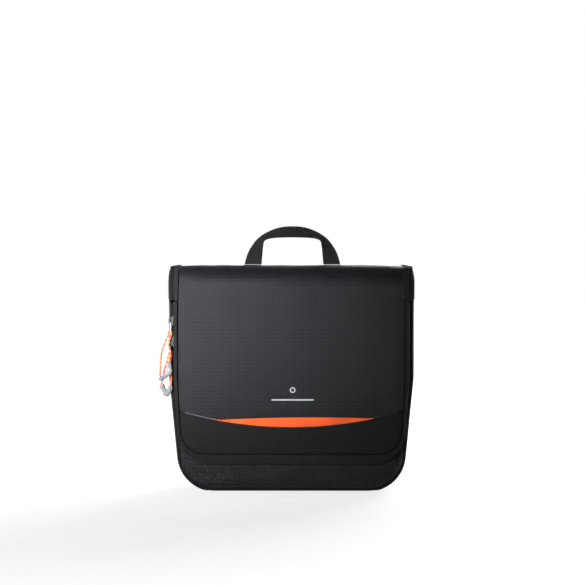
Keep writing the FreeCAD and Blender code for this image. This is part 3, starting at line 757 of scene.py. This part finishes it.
def fold_height(depth):
    """Height of the fold's inner face above a place along Y."""
    inner = FOLD_RADIUS - 3.2
    centre = LID_FRONT + FOLD_RADIUS
    if depth >= centre:
        return TOP - 3.4
    reach = min(centre - depth, inner)
    return FOLD_BEND + math.sqrt(max(inner ** 2 - reach ** 2, 0))


def make_gusset():
    """Side walls and bottom: one strip of cloth that sags slightly between its bindings."""
    path = BODY.inset(0.8).path(230)
    runs = runs_along(path)
    back, cheek, low_front = edge("gusset", 1, 1), LID_FRONT + 3.6, -22.0
    count, centre = 22, Vector((0, 110))

    def at(row, column):
        (across, up), run, part = path[column], runs[column], row / count
        front = low_front + (cheek - low_front) * ease((up - 198) / 14)
        depth = front + (back - front) * part
        level = up if up < 150 else 150 + (up - 150) * (fold_height(depth) - 150) / 80
        inward = (centre - Vector((across, up))).normalized()
        upright = ease(up / 40)
        dip = (1.3 * upright + 0.1) * edge_crown(2 * part - 1, 3)
        dip += 0.7 * upright * edge_crown(2 * part - 1, 4) * rumple(run * 0.8, depth * 1.4, 24, 6.1)
        dip *= 1 - ease((level - 215) / 20) * 0.7
        level = max(level + inward.y * dip * ease((20 - up) / 20), 1.9)
        return (across + inward.x * dip, depth, level), (run, depth)

    mesh = sheet("gusset_fabric", count, len(path) - 1, at)
    piece = finish_piece("gusset_fabric", mesh, "ripstop_side", "root", thickness=2.4, subdivide=1,
                         nodes=("gusset",))


def flat_panel(name, outline, top, depth, sign, crown, material, body, nodes, thickness, seed, folds):
    """A sewn panel parallel to the lid, crowned towards sign along Y."""
    heights = [outline.bottom + (outline.radius * (1 - math.cos(step / 14 * math.pi / 2)))
               for step in range(14)]
    base = outline.bottom + outline.radius
    heights += [base + (top - base) * step / 50 for step in range(51)]
    columns = 90

    def at(row, column):
        up, share = heights[row], 2 * column / columns - 1
        tall = 2 * (up - outline.bottom) / (top - outline.bottom) - 1
        across = share * outline.width_at(up)
        swell = edge_crown(share, 8) * edge_crown(tall, 8)
        swell *= crown + folds * rumple(across, up, 38, seed)
        return (across, depth + sign * swell, up), (across, up)

    mesh = sheet(name, len(heights) - 1, columns, at, flip=sign > 0)
    return finish_piece(name, mesh, material, body, thickness=thickness, subdivide=1, nodes=nodes)


def make_panels():
    back = edge("back_panel", 1, 1)
    piece = flat_panel("back_panel_fabric", BODY.inset(3.6), TOP - 3.6, back - 0.4, 1, 1.6,
                       "plain_weave", "root", ("back_panel", "back_foam"), 2.2, 3.3, 0.9)
    flat_panel("back_lining_cloth", BODY.inset(5.2), TOP - 7, edge("back_lining", 0, 1) + 0.2, -1, 0.1,
               "lining", "root", ("back_lining",), 0.6, 4.1, 0.1)
    flat_panel("lid_lining_cloth", FABRIC.inset(0.4), HINGE - 0.5, edge("lid_lining", 1, 1) - 0.2, 1,
               0.12, "lining", "lid", ("lid_lining",), 0.5, 4.9, 0.1)
    low, high = node_box("bottom_stiffener")

    def at(row, column):
        across, depth = low[0] * (1 - column / 20), low[1] + (high[1] - low[1]) * row / 12
        return (across, depth, high[2]), (across, depth)

    mesh = sheet("bottom_stiffener_board", 12, 40, at)
    finish_piece("bottom_stiffener_board", mesh, "lining", "root", thickness=1.5, subdivide=1,
                 nodes=("bottom_stiffener",))


def box_sheet(name, node, material, body, bow=0.0, facing=-1, ripples=0.0):
    """A flat sewn piece in a CAD node's box, with soft corners and a slight bow."""
    low, high = node_box(node)
    front, back = (low[1], high[1]) if facing < 0 else (high[1], low[1])
    columns, count = 60, max(4, int((high[2] - low[2]) / 4))

    def at(row, column):
        part, share = row / count, 2 * column / columns - 1
        across = low[0] + (high[0] - low[0]) * (share + 1) / 2
        up = low[2] + (high[2] - low[2]) * part
        lift = bow * edge_crown(share, 6) * part + ripples * rumple(across, up * 0.2, 7, 6.6) * part
        return (across, front + facing * lift, up), (across, up)

    mesh = sheet(name, count, columns, at, flip=facing > 0)
    thickness = max(abs(back - front) - 0.1, 0.3)
    return finish_piece(name, mesh, material, body, thickness=thickness, subdivide=1, nodes=(node,))


def make_pockets():
    box_sheet("back_pocket_mesh", "back_mesh_pocket", "mesh", "root", bow=0.4)
    box_sheet("back_pocket_band", "back_pocket_elastic", "elastic", "root", bow=0.4, ripples=0.3)
    box_sheet("holding_band_elastic", "holding_band", "elastic", "root", bow=0.2)
    box_sheet("lid_pocket_mesh", "lid_mesh_pocket", "mesh", "lid", bow=0.2, facing=1)
    box_sheet("lid_pocket_band", "lid_pocket_elastic", "elastic", "lid", bow=0.2, facing=1, ripples=0.2)
    low, high = node_box("band_bar_tacks")
    for index in range(4):
        middle = low[0] + 1.5 + (high[0] - low[0] - 3) * index / 3
        path = [(middle + (1.2 if step % 2 else -1.2), low[1], low[2] + 1 + 20 * step / 23)
                for step in range(24)]
        row = stitch_row(f"bar_tack_{index + 1}", path, "root", length=2.4, gap=0.1)
        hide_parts("band_bar_tacks")


# ---- zipper

def make_teeth(name, node, body):
    """One row of zipper teeth: small rounded blocks along the lid's edge."""
    back, front = edge(node, 1, 1) - 0.1, edge(node, 0, 1) + 0.1
    path, partner = LID.inset(1.2).path(ZIP_TOP), LID.inset(3.4).path(ZIP_TOP)
    pitch, half = 1.5, 0.38
    points, faces, cloth = [], [], []
    for index, place, along, run in places_along(path, 0.6, pitch):
        deep = Vector(partner[index]) - Vector(path[index])
        faces += tube_faces(len(points), 4, 4)
        for share, narrow in ((0.0, 0.55), (0.22, 1.0), (0.8, 1.0), (1.0, 0.6)):
            for depth, sign in ((back, -1), (back, 1), (front, 1), (front, -1)):
                spot = place + deep * share + along * sign * narrow * half
                points.append((spot.x, depth, spot.y))
                cloth.append((run, depth))
    mesh = mesh_from(name, points, faces, cloth)
    finish_piece(name, mesh, "zip_teeth", body, nodes=(node,))


def make_tape(name, node, body):
    """The woven tape behind a row of teeth."""
    back, front = edge(node, 1, 1), edge(node, 0, 1)
    outside, inside = LID.inset(1.2).path(ZIP_TOP), LID.inset(10.2).path(ZIP_TOP)
    runs = runs_along(outside)

    def at(row, column):
        across, up = between(outside[column], inside[column], row / 4)
        return (across, front, up), (runs[column], row / 4 * 9)

    mesh = sheet(name, 4, len(outside) - 1, at, flip=True)
    finish_piece(name, mesh, "zip_tape", body, thickness=back - front, nodes=(node,))


def bevelled_node(node, material, width, segments=3):
    """Keep a CAD node's shape, with softened edges and a better material."""
    piece = NODES[node]
    piece.data.materials.clear()
    piece.data.materials.append(MATERIALS[material])
    soften = piece.modifiers.new("soft_edges", "BEVEL")
    soften.width, soften.segments = width * MM, segments
    soften.limit_method, soften.angle_limit = "ANGLE", math.radians(35)
    return piece


def make_zipper():
    for make, part in ((make_teeth, "teeth"), (make_tape, "tape")):
        for side, body in (("body", "root"), ("lid", "lid")):
            make(f"{side}_{part}", f"{side}_zip_{part}", body)
    bevelled_node("zip_stops", "slider_metal", 0.3)
    for side in ("upper", "lower"):
        bevelled_node(f"slider_{side}", "slider_metal", 0.35)
        bevelled_node(f"pull_tab_{side}", "tab_metal", 0.2)


# ---- pulls

UPPER_ROUTE = [
    (-132.8, -32.9, 175.0), (-134.6, -33.2, 170.0), (-137.2, -33.8, 163.0), (-140.3, -34.3, 155.5),
    (-142.0, -34.4, 146.5), (-142.3, -34.4, 137.5), (-142.6, -34.4, 129.5), (-143.0, -34.4, 124.0),
    (-139.5, -34.4, 122.6), (-134.5, -34.4, 126.4), (-131.6, -34.4, 130.6), (-133.0, -34.4, 136.0),
    (-133.4, -34.4, 142.0), (-131.4, -34.4, 148.0), (-131.7, -34.2, 154.0), (-134.0, -33.8, 160.0),
    (-131.9, -33.2, 167.0), (-130.2, -32.9, 172.0), (-130.4, -32.9, 175.0)]
LOWER_ROUTE = [
    (-132.7, -29.0, 153.0), (-134.2, -29.0, 147.5), (-136.4, -29.0, 140.5), (-138.4, -28.9, 132.5),
    (-139.6, -28.9, 125.0), (-141.4, -28.9, 118.5), (-141.2, -28.9, 113.5), (-139.0, -28.9, 108.5),
    (-136.0, -28.9, 104.6), (-132.8, -28.9, 107.5), (-131.6, -28.9, 113.0), (-130.8, -28.9, 120.0),
    (-130.5, -28.9, 128.0), (-131.3, -28.9, 136.5), (-131.9, -29.0, 143.5), (-130.4, -29.0, 149.5),
    (-130.3, -29.0, 153.0)]
CORD_DIAMETER = 2.0


def spline_piece(name, route, diameter, body):
    """A round cord along a NURBS route."""
    data = bpy.data.curves.new(name, "CURVE")
    data.dimensions = "3D"
    data.bevel_depth, data.bevel_resolution, data.resolution_u = diameter / 2 * MM, 5, 16
    data.use_fill_caps = True
    spline = data.splines.new("NURBS")
    spline.points.add(len(route) - 1)
    for point, place in zip(spline.points, route):
        point.co = (*(Vector(place) * MM), 1)
    spline.order_u = 3
    spline.use_endpoint_u = True
    piece = add_object(name, data)
    data.materials.append(MATERIALS["pull_cord"])
    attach(piece, body)
    return piece


def make_knot(name, centre, body):
    """The overhand knot that gathers the cord's two strands below the tab."""
    route = []
    turns = 14
    for step in range(turns * 3):
        angle = 2 * math.pi * step / turns
        rise = (step / (turns * 3) - 0.5) * 3.6
        radius = 2.15 + 0.35 * math.sin(angle * 1.5)
        route.append((centre[0] + radius * math.cos(angle), centre[1] + 0.62 * radius * math.sin(angle),
                      centre[2] + rise + 0.9 * math.sin(angle + 0.6)))
    return spline_piece(name, route, 1.7, body)


def make_grip(name, middle_y, corners, node, body):
    """A V-shaped grip: a flattened section swept round its bend, with rounded ends."""
    start, corner, end = [Vector((across, up)) for across, up in corners]
    bend, sides = 3.2, 20
    low = corner - (corner - start).normalized() * bend
    high = corner + (end - corner).normalized() * bend
    path = [start.lerp(low, step / 12) for step in range(12)]
    path += [low.lerp(corner, step / 8).lerp(corner.lerp(high, step / 8), step / 8) for step in range(9)]
    path += [high.lerp(end, step / 12) for step in range(1, 13)]
    total = len(path) - 1
    sections = []
    for index, place in enumerate(path):
        ahead = (path[min(index + 1, total)] - path[max(index - 1, 0)]).normalized()
        swell = 0.93 + 0.07 * math.cos(4 * math.pi * index / total)
        swell *= 0.9 if min(index, total - index) == 3 else 1
        sections.append((place, Vector((-ahead.y, ahead.x)), 3.0 * swell, 1.7 * swell))

    def cap(section, outward, shift, shrink):
        place, side, wide, deep = section
        return place + outward * shift, side, wide * shrink, deep * shrink

    caps = ((2.3, 0.25), (2.0, 0.6), (1.3, 0.86), (0.6, 0.97))
    head, tail = (path[0] - path[1]).normalized(), (path[-1] - path[-2]).normalized()
    rings = [cap(sections[0], head, *step) for step in caps] + sections
    rings += [cap(sections[-1], tail, *step) for step in reversed(caps)]

    def squared(value):
        return math.copysign(abs(value) ** 0.55, value)

    built = []
    for level, (place, side, wide, deep) in enumerate(rings):
        ring = []
        for step in range(sides):
            angle = 2 * math.pi * step / sides
            spot = place + side * squared(math.cos(angle)) * wide
            ring.append(((spot.x, middle_y + squared(math.sin(angle)) * deep, spot.y),
                         (level * 0.5, angle)))
        built.append(ring)
    mesh = swept_band(name, built, closed=False)
    return finish_piece(name, mesh, "pull_grip", body, subdivide=1, nodes=(node,))


def route_length(piece):
    """Length of a curve piece's own spline, in metres."""
    line = piece.data.copy()
    line.bevel_depth = 0
    stand_in = bpy.data.objects.new("route", line)
    mesh = bpy.data.meshes.new_from_object(stand_in)
    reach = sum((mesh.vertices[link.vertices[0]].co - mesh.vertices[link.vertices[1]].co).length
                for link in mesh.edges)
    bpy.data.objects.remove(stand_in)
    bpy.data.curves.remove(line)
    bpy.data.meshes.remove(mesh)
    return reach


def make_pulls():
    plans = (
        ("upper", UPPER_ROUTE, -34.4, ((-133.3, 139.5), (-131.5, 130.4), (-142.0, 123.2)),
         (-133.7, -33.2, 168.2)),
        ("lower", LOWER_ROUTE, -28.9, ((-141.3, 115.0), (-136.0, 104.8), (-131.6, 113.2)),
         (-132.6, -29.0, 146.8)))
    for side, route, middle_y, corners, knot_place in plans:
        body = f"pull_{side}"
        cord = spline_piece(f"cord_{side}", route, CORD_DIAMETER, body)
        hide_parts(f"pull_cord_{side}")
        grip = make_grip(f"grip_{side}", middle_y, corners, f"pull_grip_{side}", body)
        knot = make_knot(f"knot_{side}", knot_place, body)
        round(route_length(cord), 3)


# ---- handle, hook and mark

def smooth_line(points, count):
    """Points evenly along a smooth curve through a few places (Catmull-Rom)."""
    places = [Vector(point) for point in points]
    places = [places[0] * 2 - places[1]] + places + [places[-1] * 2 - places[-2]]
    line = []
    for index in range(1, len(places) - 2):
        before, start, end, after = places[index - 1:index + 3]
        for step in range(24):
            t = step / 24
            line.append(0.5 * ((2 * start) + (end - before) * t + (2 * before - 5 * start + 4 * end - after)
                               * t * t + (3 * start - before - 3 * end + after) * t ** 3))
    line.append(places[-2])
    runs = [0.0]
    for start, end in zip(line, line[1:]):
        runs.append(runs[-1] + (end - start).length)
    even, index = [], 0
    for step in range(count + 1):
        wanted = runs[-1] * step / count
        while index < len(line) - 2 and runs[index + 1] < wanted:
            index += 1
        share = (wanted - runs[index]) / max(runs[index + 1] - runs[index], 1e-9)
        even.append(line[index].lerp(line[index + 1], share))
    return even


HANDLE_MIDDLE = 1.0
HANDLE_Y = (edge("handle_webbing", 0, 1) + edge("handle_webbing", 1, 1)) / 2
HANDLE_BASE = edge("handle_webbing", 0, 2) - 0.5


def make_handle():
    """Webbing bent into an arch: the legs face the front and the crown tilts back."""
    pieces = 120
    outer = [(-53.6, 0, 0), (-51.0, 0, 9.5), (-46.8, 0.5, 18.5), (-39.5, 3.0, 28.0), (-28.5, 5.6, 35.8),
             (-14.5, 6.6, 41.2), (0, 6.8, 42.6)]
    inner = [(-34.4, 0, 0), (-33.4, -0.2, 11), (-32.6, -1.2, 20), (-31.0, -3.4, 26.6), (-24.0, -6.0, 29.3),
             (-12.0, -7.0, 30.1), (0, -7.2, 30.3)]

    def whole(half):
        points = half + [(-across, depth, up) for across, depth, up in reversed(half[:-1])]
        return smooth_line([(across + HANDLE_MIDDLE, depth + HANDLE_Y, up + HANDLE_BASE)
                            for across, depth, up in points], pieces)

    outside, inside = whole(outer), whole(inner)
    runs = runs_along([(near + far) / 2 for near, far in zip(outside, inside)])

    def strap(row, column):
        near, far, share = outside[row], inside[row], column / 12
        ahead = outside[min(row + 1, pieces)] - outside[max(row - 1, 0)]
        cup = 0.5 * (1 - (2 * share - 1) ** 2)
        spot = near.lerp(far, share) + ahead.cross(far - near).normalized() * cup
        return tuple(spot), (runs[row], share * 20)

    mesh = sheet("handle_strap", pieces, 12, strap)
    finish_piece("handle_strap", mesh, "webbing", "handle", thickness=1.5, subdivide=1, offset=0.0,
                 nodes=("handle_webbing",))
    for label, side, other in (("outer", outside, inside), ("inner", inside, outside)):
        path = [tuple(near.lerp(far, 0.12) + Vector((0, -1.0, 0))) for near, far in zip(side, other)]
        stitch_row(f"handle_edge_thread_{label}", path[4:-4], "handle", length=2.2, gap=1.2, radius=0.22)
    make_handle_patches()


def make_handle_patches():
    """The two sewn patches under the handle's feet."""
    low, high = node_box("handle_patches")
    width = 21.0
    for name, left in (("left", low[0]), ("right", high[0] - width)):

        def patch(row, column):
            depth = low[1] + (high[1] - low[1]) * row / 8
            up = high[2] + 0.15 - 0.3 * abs(row / 4 - 1) ** 4
            return (left + width * column / 14, depth, up), (depth, width * column / 14)

        mesh = sheet(f"handle_patch_{name}", 8, 14, patch)
        finish_piece(f"handle_patch_{name}", mesh, "webbing", "root", thickness=0.8, subdivide=1,
                     nodes=("handle_patches",))
        near, far, start, end = left + 2, left + width - 2, low[1] + 2, high[1] - 2
        path = [(across, depth, high[2] + 0.3) for across, depth in (
            (near, start), (far, start), (far, end), (near, end), (near, start))]
        stitch_row(f"handle_patch_stitches_{name}", path, "root", length=2.0, gap=1.0, radius=0.25)


def make_hook():
    """The hook keeps its CAD shape; its tab is webbing looped round the hook's bar."""
    bevelled_node("hanging_hook", "hook_plastic", 0.8, 4)
    axis_y, axis_z, reach, width = 37.4, 240.0, 2.9, 22
    low = edge("hook_webbing_tab", 0, 2)
    profile = [(axis_y - reach, low + (axis_z - low) * step / 14) for step in range(15)]
    for step in range(1, 20):
        angle = math.pi - step / 19 * 1.45 * math.pi
        profile.append((axis_y + reach * math.cos(angle), axis_z + reach * math.sin(angle)))
    runs = runs_along(profile)

    def at(row, column):
        return (width * (column / 16 - 0.5), *profile[row]), (runs[row], width * column / 16)

    mesh = sheet("hook_tab_webbing", len(profile) - 1, 16, at, flip=True)
    finish_piece("hook_tab_webbing", mesh, "webbing", "root", thickness=1.0, subdivide=1,
                 nodes=("hook_webbing_tab",))
    box = [(-8.5, 2), (8.5, 2), (8.5, 13), (-8.5, 13), (-8.5, 2), (8.5, 13)]
    path = [(across, axis_y - reach + 1.1, low + up) for across, up in box]
    stitch_row("hook_tab_stitches", path, "root", length=2.2, gap=1.0, radius=0.25)


def make_mark():
    """The generic printed mark: a small ring over a thin bar, lying on the cloth."""
    middle, height = 1.3, 111.2
    points, faces, cloth = [], [], []

    def place(across, up):
        points.append((across, LID_FRONT - lid_rise(across, up) + 0.32, up))
        cloth.append((across, up))

    steps = 48
    for step in range(steps):
        angle = 2 * math.pi * step / steps
        for radius in (1.9, 3.1):
            place(middle + radius * math.cos(angle), height + radius * math.sin(angle))
    for step in range(steps):
        low, beside = 2 * step, 2 * ((step + 1) % steps)
        faces.append((low, low + 1, beside + 1, beside))
    first = len(points)
    length, half = 46, 0.75
    for step in range(length + 1):
        across = middle - length / 2 + step
        end = min(step, length - step)
        tall = half * (0.55 if end == 0 else 1.0)
        place(across, 100.6 - tall)
        place(across, 100.6 + tall)
    for step in range(length):
        a = first + 2 * step
        faces.append((a, a + 2, a + 3, a + 1))
    mesh = mesh_from("printed_mark", points, faces, cloth)
    finish_piece("printed_mark", mesh, "print", "lid", thickness=0.12, nodes=("lid_mark",))


for make in (make_camera, make_stage, make_pulls, make_lid_fabric, make_lower_fabric, make_accent,
             make_bindings, make_back_ring, make_top_strips, make_front_panel, make_gusset, make_panels,
             make_pockets, make_zipper, make_handle, make_hook, make_mark):
    make()

bpy.context.view_layer.update()
